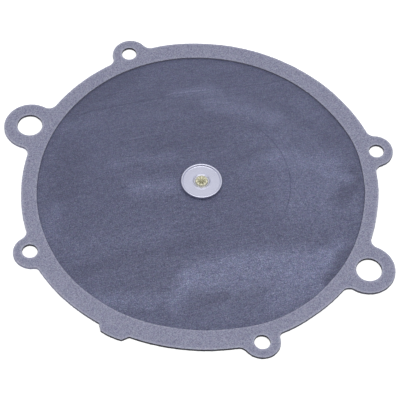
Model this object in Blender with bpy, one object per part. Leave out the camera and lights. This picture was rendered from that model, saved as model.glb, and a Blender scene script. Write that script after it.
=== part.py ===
"""Fuel system diaphragm for a gas regulator, laid on a table with its sealing face up.

A die-cut sheet of rubberised cloth carries a fibre gasket on its flange. Six ears take the cover
screws. A riveted hub clamps the middle of the sheet between a large backing plate below and a small
cup washer above. The rivet's foot stands on the table and props the slack sheet up.

The origin is the middle of the rivet's foot, on the table. +Z is up, through the hub, and +X runs
towards the right of the photograph. Sizes are in metres.
"""

from collections import namedtuple
from math import acos, atan2, ceil, cos, exp, pi, radians, sin, tan, tau

import bmesh
import bpy
from mathutils import Vector

MM = 0.001

# Clearance left between faces that touch on the real part
SEAT_GAP = 0.3 * MM

# Corners of an outline closer than the first of these are one corner, and so are corners of a turned
# piece closer than the second
OUTLINE_TOLERANCE = 0.03 * MM
TURNING_TOLERANCE = 0.003 * MM

# Sheet thicknesses
MEMBRANE_THICKNESS = 0.4 * MM
GASKET_THICKNESS = 0.6 * MM

# Ring shared by the gasket and the membrane's flange: each stretch between two ears has its own width
RING_INNER_RADIUS = 53.5 * MM
WIDTH_LOWER_LEFT = 6.7 * MM
WIDTH_LOWER_RIGHT = 5.0 * MM
WIDTH_RIGHT = 4.3 * MM
WIDTH_TOP = 5.9 * MM
WIDTH_UPPER_LEFT = 4.8 * MM
WIDTH_LEFT = 4.8 * MM

# Screw ears: how far each hole stands out from the ring's inner edge, and the land around it
SCREW_HOLE_RADIUS = 2.5 * MM
BOLT_HOLE_RADIUS = 4.15 * MM
SCREW_SETOUT = 6.2 * MM
BOLT_SETOUT_LEFT = 8.2 * MM
BOLT_SETOUT_RIGHT = 7.7 * MM
SCREW_LAND = 3.4 * MM
BOLT_LAND = 4.65 * MM
EAR_INSET = 0.4 * MM
EAR_FILLET = 2.8 * MM
EAR_FILLET_SMALL = 1.6 * MM

# Locating tab on the lower left of the ring
TAB_ANGLE = radians(-114.4)
TAB_HEIGHT = 1.95 * MM
TAB_BASE_WIDTH = 10.6 * MM
TAB_TOP_WIDTH = 7.2 * MM
TAB_CORNER_RADIUS = 0.6 * MM

# Slack part of the membrane, between the flange and the backing plate
FLANGE_ROLL_OFF = 0.8 * MM
SLOPE_BIAS = 1.35
WAVE_HEIGHT = 0.35 * MM

# Backing plate under the membrane, with its rim turned down
PLATE_RADIUS = 28.5 * MM
PLATE_THICKNESS = 1.0 * MM
PLATE_INNER_BEND = 0.4 * MM
PLATE_LIP = 0.3 * MM

# Cup washer on top of the membrane
WASHER_RADIUS = 6.65 * MM
WASHER_THICKNESS = 0.4 * MM
WASHER_RIM_RISE = 0.65 * MM
WASHER_RIM_WIDTH = 0.75 * MM
WASHER_BEND_RADIUS = 0.45 * MM
WASHER_FILLET = 0.15 * MM
BEAD_WIDTH = 0.65 * MM
BEAD_HEIGHT = 0.3 * MM
BEAD_CLEARANCE = 0.25 * MM

# Rivet: shank through the hub, spool foot for the lever, star-set upper end
SHANK_RADIUS = 1.55 * MM
FOOT_RADIUS = 3.0 * MM
FOOT_HEIGHT = 0.8 * MM
NECK_RADIUS = 1.7 * MM
NECK_HEIGHT = 0.55 * MM
SHOULDER_RADIUS = 3.6 * MM
SHOULDER_HEIGHT = 0.6 * MM
STAR_RADIUS = 2.15 * MM
STAR_HEIGHT = 0.5 * MM
STAR_PETALS = 8
STAR_GROOVE = 0.2 * MM
STAR_GROOVE_SHARPNESS = 0.45
STAR_BORE_RADIUS = 0.8 * MM
STAR_BORE_DEPTH = 1.8 * MM
EDGE_BREAK = 0.2 * MM

# Outside of the plate's bend, which the membrane rolls over
PLATE_OUTER_BEND = PLATE_INNER_BEND + PLATE_THICKNESS

# Levels above the table, from the foot upwards
PLATE_UNDERSIDE = FOOT_HEIGHT + NECK_HEIGHT + SHOULDER_HEIGHT + SEAT_GAP
MEMBRANE_UNDERSIDE = PLATE_UNDERSIDE + PLATE_THICKNESS + SEAT_GAP
WASHER_UNDERSIDE = MEMBRANE_UNDERSIDE + MEMBRANE_THICKNESS + SEAT_GAP
STAR_UNDERSIDE = WASHER_UNDERSIDE + WASHER_THICKNESS + SEAT_GAP
GASKET_UNDERSIDE = MEMBRANE_THICKNESS + SEAT_GAP
HUB_HOLE_RADIUS = SHANK_RADIUS + SEAT_GAP

# Facets
ARC_STEP = radians(3.0)
CORNER_STEP = radians(18.0)
HOLE_SEGMENTS = 24
RING_SEGMENTS = 120
SLACK_RINGS = 7
HUB_SEGMENTS = 48
PLATE_SEGMENTS = 60
BEND_STEP = radians(22.5)
ROLL_SEGMENTS = 8

Ear = namedtuple("Ear", "angle setout hole_radius land drift fillet_before fillet_after width_after")

# Going anticlockwise from the lower left. Drift is how far the ear sits round the ring from its hole
EARS = (
    Ear(radians(-152.8), SCREW_SETOUT, SCREW_HOLE_RADIUS, SCREW_LAND, 0.5 * MM,
        EAR_FILLET, EAR_FILLET_SMALL, WIDTH_LOWER_LEFT),
    Ear(radians(-69.3), SCREW_SETOUT, SCREW_HOLE_RADIUS, SCREW_LAND, -0.1 * MM,
        EAR_FILLET, EAR_FILLET_SMALL, WIDTH_LOWER_RIGHT),
    Ear(radians(-27.2), BOLT_SETOUT_RIGHT, BOLT_HOLE_RADIUS, BOLT_LAND, 0.0,
        EAR_FILLET, EAR_FILLET, WIDTH_RIGHT),
    Ear(radians(17.6), SCREW_SETOUT, SCREW_HOLE_RADIUS, SCREW_LAND, 0.15 * MM,
        EAR_FILLET, EAR_FILLET, WIDTH_TOP),
    Ear(radians(116.6), SCREW_SETOUT, SCREW_HOLE_RADIUS, SCREW_LAND, -0.2 * MM,
        EAR_FILLET, EAR_FILLET, WIDTH_UPPER_LEFT),
    Ear(radians(159.5), BOLT_SETOUT_LEFT, BOLT_HOLE_RADIUS, BOLT_LAND, 0.1 * MM,
        EAR_FILLET, EAR_FILLET, WIDTH_LEFT),
)

Wave = namedtuple("Wave", "lobes share turn")

# Soft waves round the slack part: crests in a full turn, share of the wave height, and bearing
WAVES = (
    Wave(2, 0.5, radians(35.0)),
    Wave(3, 0.3, radians(-63.0)),
    Wave(5, 0.2, radians(115.0)),
)


def clear_scene():
    """Removes whatever the scene holds."""
    for leftover in list(bpy.data.objects):
        bpy.data.objects.remove(leftover, do_unlink=True)


def finish_material(name, colour, roughness, metallic):
    """One Principled material with a plain colour."""
    material = bpy.data.materials.new(name)
    material.use_nodes = True
    shader = material.node_tree.nodes["Principled BSDF"]
    shader.inputs["Base Color"].default_value = (*colour, 1.0)
    shader.inputs["Roughness"].default_value = roughness
    shader.inputs["Metallic"].default_value = metallic
    return material


def add_piece(name, bm, height, parent, material):
    """Makes an object from a bmesh, stands it at its height and shades its round faces smooth."""
    mesh = bpy.data.meshes.new(name)
    bm.to_mesh(mesh)
    bm.free()
    mesh.materials.append(material)
    mesh.shade_smooth()
    mesh.set_sharp_from_angle(angle=radians(35.0))
    piece = bpy.data.objects.new(name, mesh)
    piece.location = (0.0, 0.0, height)
    piece.parent = parent
    bpy.context.collection.objects.link(piece)
    return piece


def add_thickness(piece, thickness):
    """Thickens a sheet upwards from its underside."""
    solidify = piece.modifiers.new("sheet thickness", "SOLIDIFY")
    solidify.thickness = thickness
    solidify.offset = 1.0
    solidify.use_even_offset = True


def polar(radius, angle):
    """A point in the plane of the sheet."""
    return Vector((radius * cos(angle), radius * sin(angle), 0.0))


def direction_of(vector):
    """The angle that a vector in the plane points at."""
    return atan2(vector.y, vector.x)


def arc(centre, radius, start, end, step=ARC_STEP):
    """Points on an arc from one angle to another, both ends included."""
    count = max(2, ceil(abs(end - start) / step))
    return [centre + polar(radius, start + (end - start) * i / count) for i in range(count + 1)]


def circle(centre, radius, count):
    """Points of a full circle, anticlockwise."""
    return [centre + polar(radius, tau * i / count) for i in range(count)]


def rounded_corner(before, corner, after, radius):
    """Replaces a corner between two straight edges by an arc tangent to both."""
    incoming = (corner - before).normalized()
    outgoing = (after - corner).normalized()
    turn = incoming.angle(outgoing)
    side = 1.0 if incoming.cross(outgoing).z > 0.0 else -1.0
    trim = radius * tan(turn / 2.0)
    inward = Vector((-incoming.y, incoming.x, 0.0)) * side
    centre = corner - incoming * trim + inward * radius
    start = direction_of(-inward)
    return arc(centre, radius, start, start + side * turn, CORNER_STEP)


def ear_centre(ear):
    """The middle of an ear's outer arc: a little inside its hole, and drifted round the ring."""
    radius = RING_INNER_RADIUS + ear.setout - EAR_INSET
    along = polar(1.0, ear.angle + pi / 2.0)
    return polar(radius, ear.angle) + along * ear.drift


def hole_centre(ear):
    """The middle of an ear's screw hole."""
    return polar(RING_INNER_RADIUS + ear.setout, ear.angle)


def fillet_centre(ear, width, fillet, side):
    """The middle of the concave arc that touches both the ear and the ring, on one side of the ear."""
    centre = ear_centre(ear)
    to_ring = RING_INNER_RADIUS + width + fillet
    to_ear = ear.hole_radius + ear.land + fillet
    reach = centre.length
    spread = acos((reach ** 2 + to_ring ** 2 - to_ear ** 2) / (2.0 * reach * to_ring))
    return polar(to_ring, direction_of(centre) + side * spread)


def ear_outline(ear, width_before):
    """The ear's edge with a concave fillet on each side, anticlockwise from ring to ring."""
    centre = ear_centre(ear)
    first = fillet_centre(ear, width_before, ear.fillet_before, -1.0)
    last = fillet_centre(ear, ear.width_after, ear.fillet_after, 1.0)
    leave_ring = direction_of(-first)
    meet_ear = direction_of(centre - first)
    leave_ear = direction_of(centre - last)
    meet_ring = direction_of(-last)
    while meet_ear > leave_ring:
        meet_ear -= tau
    while meet_ring > leave_ear:
        meet_ring -= tau
    ear_start = direction_of(first - centre)
    ear_end = direction_of(last - centre)
    while ear_end < ear_start:
        ear_end += tau
    points = arc(first, ear.fillet_before, leave_ring, meet_ear, CORNER_STEP)
    points += arc(centre, ear.hole_radius + ear.land, ear_start, ear_end, CORNER_STEP / 1.5)
    points += arc(last, ear.fillet_after, leave_ear, meet_ring, CORNER_STEP)
    return points


def tab_outline(ring_radius):
    """The locating tab: a low trapezium with rounded corners, anticlockwise from ring to ring."""
    radial = polar(1.0, TAB_ANGLE)
    along = polar(1.0, TAB_ANGLE + pi / 2.0)
    half_base = TAB_BASE_WIDTH / 2.0 / ring_radius
    approach = TAB_CORNER_RADIUS / ring_radius
    top = radial * (ring_radius + TAB_HEIGHT)
    path = [
        polar(ring_radius, TAB_ANGLE - half_base - approach),
        polar(ring_radius, TAB_ANGLE - half_base),
        top - along * TAB_TOP_WIDTH / 2.0,
        top + along * TAB_TOP_WIDTH / 2.0,
        polar(ring_radius, TAB_ANGLE + half_base),
        polar(ring_radius, TAB_ANGLE + half_base + approach),
    ]
    points = []
    for before, corner, after in zip(path, path[1:], path[2:]):
        points += rounded_corner(before, corner, after, TAB_CORNER_RADIUS)
    return points


def without_doubles(points):
    """Drops each point that lies on the one before it, and the last if it lies on the first."""
    kept = []
    for point in points:
        if not kept or (point - kept[-1]).length > OUTLINE_TOLERANCE:
            kept.append(point)
    if (kept[0] - kept[-1]).length < OUTLINE_TOLERANCE:
        kept.pop()
    return kept


def die_outline():
    """The outer edge that one die cuts through both sheets, anticlockwise."""
    points = []
    pieces = [ear_outline(ear, EARS[i - 1].width_after) for i, ear in enumerate(EARS)]
    for i, ear in enumerate(EARS):
        points += pieces[i]
        radius = RING_INNER_RADIUS + ear.width_after
        following = pieces[(i + 1) % len(EARS)]
        start = direction_of(pieces[i][-1])
        end = direction_of(following[0])
        if end < start:
            end += tau
        if start < TAB_ANGLE < end:
            tab = tab_outline(radius)
            points += arc(Vector(), radius, start, direction_of(tab[0]))
            points += tab
            start = direction_of(tab[-1])
        points += arc(Vector(), radius, start, end)
    return without_doubles(points)


def hole_loops():
    """The six screw holes that the die punches."""
    return [circle(hole_centre(ear), ear.hole_radius, HOLE_SEGMENTS) for ear in EARS]


def add_loop(bm, points):
    """Adds a closed chain of edges and returns its corners and edges."""
    corners = [bm.verts.new(point) for point in points]
    edges = [bm.edges.new((a, b)) for a, b in zip(corners, corners[1:] + corners[:1])]
    return corners, edges


def fill_between(bm, edges):
    """Fills a flat region bounded by closed chains of edges, facing up."""
    made = bmesh.ops.triangle_fill(bm, edges=edges, normal=(0.0, 0.0, 1.0), use_beauty=True)
    faces = [item for item in made["geom"] if isinstance(item, bmesh.types.BMFace)]
    for face in faces:
        if face.normal.z < 0.0:
            face.normal_flip()


def join_loops(bm, outer, inner):
    """Joins two rings of as many corners by a band of faces that look up."""
    count = len(outer)
    for i in range(count):
        following = (i + 1) % count
        bm.faces.new((outer[i], outer[following], inner[following], inner[i]))


def gasket_mesh():
    """The fibre gasket's underside: the die outline less the round middle and the screw holes."""
    bm = bmesh.new()
    edges = []
    openings = [circle(Vector(), RING_INNER_RADIUS, RING_SEGMENTS)] + hole_loops()
    for loop in [die_outline()] + openings:
        edges += add_loop(bm, loop)[1]
    fill_between(bm, edges)
    return bm


def slack_height(share, angle):
    """Height of the slack membrane: 0 at the flange, the hub's level at the plate, with soft waves."""
    rise = 0.5 - 0.5 * cos(pi * share ** SLOPE_BIAS)
    waves = sum(wave.share * sin(wave.lobes * angle + wave.turn) for wave in WAVES)
    return MEMBRANE_UNDERSIDE * rise + WAVE_HEIGHT * 4.0 * rise * (1.0 - rise) * waves


def membrane_mesh():
    """The membrane's underside: a flat flange, a slack part that climbs inwards, a flat hub."""
    bm = bmesh.new()
    slack_outer = RING_INNER_RADIUS - FLANGE_ROLL_OFF
    slack_inner = PLATE_RADIUS - PLATE_OUTER_BEND
    edges = []
    for loop in [die_outline()] + hole_loops():
        edges += add_loop(bm, loop)[1]
    ring, ring_edges = add_loop(bm, circle(Vector(), slack_outer, RING_SEGMENTS))
    fill_between(bm, edges + ring_edges)
    for step in range(1, SLACK_RINGS + 1):
        share = step / SLACK_RINGS
        radius = slack_outer + (slack_inner - slack_outer) * share
        points = circle(Vector(), radius, RING_SEGMENTS)
        for point in points:
            point.z = slack_height(share, direction_of(point))
        following, following_edges = add_loop(bm, points)
        join_loops(bm, ring, following)
        ring = following
    hub_hole = circle(Vector((0.0, 0.0, MEMBRANE_UNDERSIDE)), HUB_HOLE_RADIUS, HOLE_SEGMENTS)
    fill_between(bm, following_edges + add_loop(bm, hub_hole)[1])
    return bm


def turned_mesh(profile, segments):
    """Turns a closed profile of (radius, height) points around the Z axis."""
    bm = bmesh.new()
    corners = [bm.verts.new((radius, 0.0, height)) for radius, height in profile]
    edges = [bm.edges.new((a, b)) for a, b in zip(corners, corners[1:] + corners[:1])]
    bmesh.ops.spin(bm, geom=corners + edges, cent=(0.0, 0.0, 0.0), axis=(0.0, 0.0, 1.0),
                   angle=tau, steps=segments, use_merge=True)
    bmesh.ops.remove_doubles(bm, verts=bm.verts[:], dist=TURNING_TOLERANCE)
    on_axis = [edge for edge in bm.edges if not edge.link_faces]
    bmesh.ops.delete(bm, geom=on_axis, context="EDGES")
    bmesh.ops.recalc_face_normals(bm, faces=bm.faces[:])
    return bm


def bend(centre_radius, centre_height, radius, start, end):
    """Profile points round a bend, as (radius, height) pairs."""
    points = arc(Vector((centre_radius, centre_height, 0.0)), radius, start, end, BEND_STEP)
    return [(point.x, point.y) for point in points]


def plate_mesh():
    """The backing plate: a pressed disc whose rim is bent down, away from the membrane."""
    bend_radius = PLATE_RADIUS - PLATE_OUTER_BEND
    bend_level = PLATE_THICKNESS - PLATE_OUTER_BEND
    lip_level = bend_level - PLATE_LIP
    profile = [(HUB_HOLE_RADIUS, 0.0)]
    profile += bend(bend_radius, bend_level, PLATE_INNER_BEND, pi / 2.0, 0.0)
    profile += [(PLATE_RADIUS - PLATE_THICKNESS, lip_level), (PLATE_RADIUS, lip_level)]
    profile += bend(bend_radius, bend_level, PLATE_OUTER_BEND, 0.0, pi / 2.0)
    profile += [(HUB_HOLE_RADIUS, PLATE_THICKNESS)]
    return turned_mesh(profile, PLATE_SEGMENTS)


def washer_mesh():
    """The cup washer: a flat floor, a rolled rim round it and a raised bead round the rivet."""
    half_rim = WASHER_RIM_WIDTH / 2.0
    rim_level = WASHER_THICKNESS + WASHER_RIM_RISE - half_rim
    edge_bend = WASHER_BEND_RADIUS
    fillet_radius = WASHER_RADIUS - WASHER_RIM_WIDTH - WASHER_FILLET
    fillet_level = WASHER_THICKNESS + WASHER_FILLET
    bead_middle = STAR_RADIUS + BEAD_CLEARANCE + BEAD_WIDTH / 2.0
    profile = [(HUB_HOLE_RADIUS, 0.0)]
    profile += bend(WASHER_RADIUS - edge_bend, edge_bend, edge_bend, -pi / 2.0, 0.0)
    profile += bend(WASHER_RADIUS - half_rim, rim_level, half_rim, 0.0, pi)
    profile += bend(fillet_radius, fillet_level, WASHER_FILLET, 0.0, -pi / 2.0)
    for i in range(ROLL_SEGMENTS + 1):
        share = 1.0 - 2.0 * i / ROLL_SEGMENTS
        swell = BEAD_HEIGHT * (0.5 + 0.5 * cos(pi * share))
        profile.append((bead_middle + share * BEAD_WIDTH / 2.0, WASHER_THICKNESS + swell))
    profile += [(HUB_HOLE_RADIUS, WASHER_THICKNESS)]
    return turned_mesh(profile, HUB_SEGMENTS)


def cut_star(bm):
    """Splits the rivet's rolled end into petals: grooves between them, and a scalloped edge. One petal
    points straight away from the camera of the photograph.
    """
    for corner in bm.verts:
        radius = corner.co.xy.length
        above = corner.co.z - STAR_UNDERSIDE
        if above < 0.0 or radius <= SHANK_RADIUS and above == 0.0:
            continue
        crest = cos(STAR_PETALS * direction_of(corner.co) / 2.0)
        groove = exp(-(crest / STAR_GROOVE_SHARPNESS) ** 2)
        out = (radius - STAR_BORE_RADIUS) / (STAR_RADIUS - STAR_BORE_RADIUS)
        if out <= 0.0:
            continue
        corner.co.xy *= 1.0 - STAR_GROOVE * groove * out ** 3 / radius
        corner.co.z -= STAR_GROOVE * groove * min(1.0, 2.0 * out) * above / STAR_HEIGHT


def rivet_mesh():
    """The rivet: a spool foot for the lever, a shoulder, a shank and a star-set upper end."""
    neck_top = FOOT_HEIGHT + NECK_HEIGHT
    shoulder_top = neck_top + SHOULDER_HEIGHT
    roll = (STAR_RADIUS - STAR_BORE_RADIUS) / 2.0
    profile = [(0.0, 0.0), (FOOT_RADIUS - EDGE_BREAK, 0.0), (FOOT_RADIUS, EDGE_BREAK)]
    profile += [(FOOT_RADIUS, FOOT_HEIGHT - EDGE_BREAK), (FOOT_RADIUS - EDGE_BREAK, FOOT_HEIGHT)]
    profile += [(NECK_RADIUS, FOOT_HEIGHT), (NECK_RADIUS, neck_top)]
    profile += [(SHOULDER_RADIUS, neck_top), (SHOULDER_RADIUS, shoulder_top)]
    profile += [(SHANK_RADIUS, shoulder_top), (SHANK_RADIUS, STAR_UNDERSIDE)]
    for i in range(ROLL_SEGMENTS + 1):
        turn = pi * i / ROLL_SEGMENTS
        profile.append((STAR_RADIUS - roll + roll * cos(turn), STAR_UNDERSIDE + STAR_HEIGHT * sin(turn)))
    bore_floor = STAR_UNDERSIDE + STAR_HEIGHT - STAR_BORE_DEPTH
    profile += [(STAR_BORE_RADIUS, bore_floor), (0.0, bore_floor)]
    bm = turned_mesh(profile, HUB_SEGMENTS)
    cut_star(bm)
    return bm


def main():
    clear_scene()
    diaphragm = bpy.data.objects.new("diaphragm", None)
    bpy.context.collection.objects.link(diaphragm)

    fibre = finish_material("gasket fibre", (0.26, 0.27, 0.36), 0.85, 0.0)
    rubber = finish_material("rubberised cloth", (0.12, 0.13, 0.20), 0.6, 0.0)
    bright = finish_material("bright plated steel", (0.60, 0.62, 0.74), 0.25, 1.0)
    plate = finish_material("plain pressed plate", (0.55, 0.56, 0.58), 0.35, 1.0)
    brass = finish_material("pale brass", (0.56, 0.53, 0.34), 0.3, 1.0)

    gasket = add_piece("gasket_ring", gasket_mesh(), GASKET_UNDERSIDE, diaphragm, fibre)
    add_thickness(gasket, GASKET_THICKNESS)
    membrane = add_piece("membrane", membrane_mesh(), 0.0, diaphragm, rubber)
    add_thickness(membrane, MEMBRANE_THICKNESS)
    add_piece("backing_plate", plate_mesh(), PLATE_UNDERSIDE, diaphragm, plate)
    add_piece("cup_washer", washer_mesh(), WASHER_UNDERSIDE, diaphragm, bright)
    add_piece("hub_rivet", rivet_mesh(), 0.0, diaphragm, brass)


main()
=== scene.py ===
"""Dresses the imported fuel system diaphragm: finer pieces with their finishes, the floor, the light
and the camera. Sizes are in metres and +Z is up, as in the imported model.
"""

from collections import namedtuple
from math import atan2, ceil, cos, degrees, exp, pi, radians, sin, tau

import bmesh
import bpy
from bpy.props import FloatProperty, FloatVectorProperty, IntProperty, PointerProperty
from bpy.types import Operator, Panel, PropertyGroup
from mathutils import Matrix, Vector, noise


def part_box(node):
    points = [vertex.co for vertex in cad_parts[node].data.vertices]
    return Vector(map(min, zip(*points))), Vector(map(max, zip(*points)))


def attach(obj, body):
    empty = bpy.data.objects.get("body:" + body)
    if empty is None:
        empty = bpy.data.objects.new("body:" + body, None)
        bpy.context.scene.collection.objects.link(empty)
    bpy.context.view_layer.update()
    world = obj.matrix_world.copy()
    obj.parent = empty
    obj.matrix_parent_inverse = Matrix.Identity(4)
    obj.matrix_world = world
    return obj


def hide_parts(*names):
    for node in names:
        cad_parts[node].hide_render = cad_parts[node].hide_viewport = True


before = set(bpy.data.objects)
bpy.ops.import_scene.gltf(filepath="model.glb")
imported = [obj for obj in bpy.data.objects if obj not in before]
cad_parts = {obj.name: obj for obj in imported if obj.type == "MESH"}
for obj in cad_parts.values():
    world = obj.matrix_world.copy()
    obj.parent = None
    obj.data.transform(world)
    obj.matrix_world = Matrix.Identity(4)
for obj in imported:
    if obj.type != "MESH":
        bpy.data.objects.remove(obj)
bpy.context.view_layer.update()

bl_info = {
    "name": "Diaphragm Dresser",
    "version": (1, 0, 0),
    "blender": (4, 5, 0),
    "location": "3D View > Sidebar > Diaphragm",
    "description": "Builds the detailed pieces of a fuel system diaphragm around its packed frame",
    "category": "Object",
}

MM = 0.001

# What the CAD leaves open between faces that touch here
SEAT_GAP = 0.3 * MM

# Corners closer than this are one corner
WELD = 0.001 * MM

# Keeps the floor's face out of the faces that lie on it
FLOOR_CLEARANCE = 0.02 * MM

# Levels taken from the frame
MEMBRANE_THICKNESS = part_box("gasket_ring")[0].z - SEAT_GAP
GASKET_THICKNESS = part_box("gasket_ring")[1].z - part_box("gasket_ring")[0].z
GASKET_TOP = MEMBRANE_THICKNESS + GASKET_THICKNESS
PLATE_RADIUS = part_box("backing_plate")[1].x
HUB_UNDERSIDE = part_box("backing_plate")[1].z + SEAT_GAP
HUB_TOP = HUB_UNDERSIDE + MEMBRANE_THICKNESS

# The ring, and the membrane's slack part inside it, as the CAD has them
RING_INNER_RADIUS = 53.5 * MM
RING_WIDTH = 5.0 * MM
SLACK_OUTER = 52.7 * MM
SLACK_INNER = 27.1 * MM
SLOPE_BIAS = 1.35
WAVE_HEIGHT = 0.35 * MM
Wave = namedtuple("Wave", "lobes share turn")
WAVES = (Wave(2, 0.5, 35.0), Wave(3, 0.3, -63.0), Wave(5, 0.2, 115.0))
HUB_HOLE_RADIUS = 1.85 * MM

# Sheet metal of the backing plate and the cup washer
PLATE_THICKNESS = 1.0 * MM
WASHER_THICKNESS = 0.4 * MM

# No part of the rivet's sunk middle lies this far under its seat
MOUTH_DEPTH = 1.0 * MM

# How finely the slack part is meshed: round it, and inwards on its upper face and its underside
SLACK_SEGMENTS = 480
UPPER_RINGS = 108
LOWER_RINGS = 24

# The die's cut: how far apart its points are set, and corners lie on one arc where their centres
# agree to this share of its radius and the radius is no larger than this
CUT_STEP = 0.7 * MM
CENTRE_MATCH = 0.03
LARGEST_ARC = 2.0 * RING_INNER_RADIUS

# Corners this near to the ring's opening belong to its cut edge
OPENING_MARGIN = 1.5 * MM

# Name of the mesh attribute that holds a corner's wear on a sheet's upper edges and the painted light on
# its cut walls
WEAR_AND_WALL_LIGHT = "worn"

# One ring of corners round a sheet's edge: how far in, how high and how much wear it has. On a cut wall
# the wear is None, and painted light on the wall takes its place.
Level = namedtuple("Level", "inset height wear", defaults=[None])

# How far the ring stands out of true: bearings in degrees, outward shifts in millimetres
Station = namedtuple("Station", "bearing opening outline")
OUT_OF_TRUE = (
    Station(-160, 0, 0.25),
    Station(-138, 0.22, 0),
    Station(-120, -0.03, -0.22),
    Station(-95, -0.53, -0.42),
    Station(-82, -0.42, -0.27),
    Station(-60, 0.54, 0.5),
    Station(-48, 0.45, 0.2),
    Station(-36, 0.02, 0.05),
    Station(-8, -0.39, -0.32),
    Station(6, -0.12, 0.1),
    Station(22, 0.26, 0.42),
    Station(42, -0.22, 0.1),
    Station(60, -0.13, -0.02),
    Station(88, -0.1, 0.14),
    Station(104, 0.06, 0.42),
    Station(120, 0.12, 0.2),
    Station(156, -0.18, 0),
    Station(178, -0.2, 0.05),
)

# The long crease across the far side of the cloth, in millimetres
CREASE = (
    (-46.0, 25.0),
    (-42.5, 25.8),
    (-41.0, 27.6),
    (-38.7, 28.7),
    (-28.2, 31.6),
    (-16.3, 34.4),
    (-11.5, 36.9),
    (3.3, 40.0),
    (8.0, 41.2),
    (18.8, 43.6),
    (27.0, 46.3),
)

# The line that the backing plate's rim has marked on the cloth
PRINT_RADIUS = 28.9 * MM
PRINT_BEARING = radians(16.0)

# Grain of the cloth, which its long soft streaks follow
GRAIN_ANGLE = radians(16.5)

# Lean of the axes that noise is worked out on
TILT = (0.62, 0.37, 0.0)

# Paler and darker patches on the cloth, in millimetres and degrees: painted sheen and painted shade
# where the slack cloth slopes and folds, with some pale powdery haze
SoftPatch = namedtuple("SoftPatch", "x y length width turn strength soft", defaults=[1.0])
BLOOM_SHEEN_AND_SHADE_PATCHES = (
    SoftPatch(20, -30.4, 55, 18, 13.5, 0.56, 0.75),
    SoftPatch(31, -37.5, 26, 14, 30, 0.40, 0.8),
    SoftPatch(-5, -40, 18, 10, 72, 0.50),
    SoftPatch(33.5, 12.5, 33, 17, 4, 0.42),
    SoftPatch(35, -1, 42, 36, 10, 0.38),
    SoftPatch(17, 8, 18, 10, 30, 0.20),
    SoftPatch(21, 19, 20, 10, 10, 0.20),
    SoftPatch(44, 7.5, 15, 8, 0, 0.26),
    SoftPatch(50.5, -3, 16, 7, 90, 0.12),
    SoftPatch(11.5, 31, 34, 15, -14, 0.34),
    SoftPatch(-3.5, 38.5, 20, 8, 12, 0.30),
    SoftPatch(29.5, 24.5, 24, 13, -28, 0.20),
    SoftPatch(35, 33, 20, 12, -45, 0.16),
    SoftPatch(-29, 25, 44, 9, 10, 0.08),
    SoftPatch(-20, 8, 26, 7, 12, 0.20),
    SoftPatch(-15, -2.5, 22, 11, 10, 0.38),
    SoftPatch(-47, -16, 20, 12, 80, 0.24),
    SoftPatch(-26, -23, 38, 10, 12, 0.12),
    SoftPatch(-21, -43.5, 30, 10, 2, 0.28),
    SoftPatch(14, -46, 26, 12, 16, 0.10),
    SoftPatch(44, -19.8, 15, 10, 50, 0.44),
    SoftPatch(-17, -28, 46, 7, 16, -0.12),
    SoftPatch(-36.5, -34.5, 9, 6, 20, -0.16, 0.9),
    SoftPatch(5.5, -41, 12, 6, 15, -0.24, 0.9),
    SoftPatch(-9.5, -44.5, 7, 5, 40, -0.12, 0.9),
    SoftPatch(45.5, -27.5, 21, 10, 55, -0.42),
    SoftPatch(47, 0.5, 15, 9, 40, -0.40),
    SoftPatch(-44, 4, 32, 18, 80, -0.17),
    SoftPatch(-35, 37, 40, 13, 44, -0.18),
    SoftPatch(-6, 16.5, 34, 14, 10, -0.13),
    SoftPatch(50.5, 8, 8, 4, -75, -0.22, 0.9),
)

# Short pale nicks in the rubber
NICKS = (
    SoftPatch(-12.6, 33.6, 3.4, 1, 25, 1),
    SoftPatch(-13.8, -45.6, 3.6, 1, 20, 1),
    SoftPatch(14.4, 26.7, 3.4, 1.4, -80, 0.8),
    SoftPatch(-22.7, -2.6, 2.2, 1.2, 15, 0.7),
    SoftPatch(-17.5, -2.2, 3.6, 1.6, 15, 0.8),
)


def colour_property(name, description, default):
    """A colour that a user would change."""
    kind = {"subtype": "COLOR", "min": 0.0, "max": 1.0}
    return FloatVectorProperty(name=name, description=description, default=default, **kind)


def length_property(name, description, default):
    """A length that a user would change, in metres."""
    return FloatProperty(name=name, description=description, unit="LENGTH", default=default)


def number_property(name, description, default, **kind):
    """Any other number that a user would change, with its unit or subtype."""
    return FloatProperty(name=name, description=description, default=default, **kind)


class GasketSettings(PropertyGroup):
    """The fibre gasket."""

    fibre_colour: colour_property(
        "Fibre Colour", "Colour of the pressed fibre sheet", (0.203, 0.206, 0.279)
    )
    # Mostly painted shade: the upright cut walls take this darker colour in place of the fibre's own
    edge_colour_with_painted_shade: colour_property(
        "Cut Edge Colour", "Colour of the edge that the die leaves", (0.025, 0.025, 0.033)
    )
    fleck_size: length_property("Fleck Size", "Size of the finest flecks in the fibre", 0.34 * MM)
    edge_roll: length_property("Edge Roll", "Radius to which the die rounds the upper edges", 0.09 * MM)
    ragged: length_property("Ragged Edge", "How far torn fibre makes the cut edge waver", 0.05 * MM)
    worn_width: length_property(
        "Worn Width", "Width of the paler band that handling leaves along the upper edges", 0.85 * MM
    )


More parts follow.
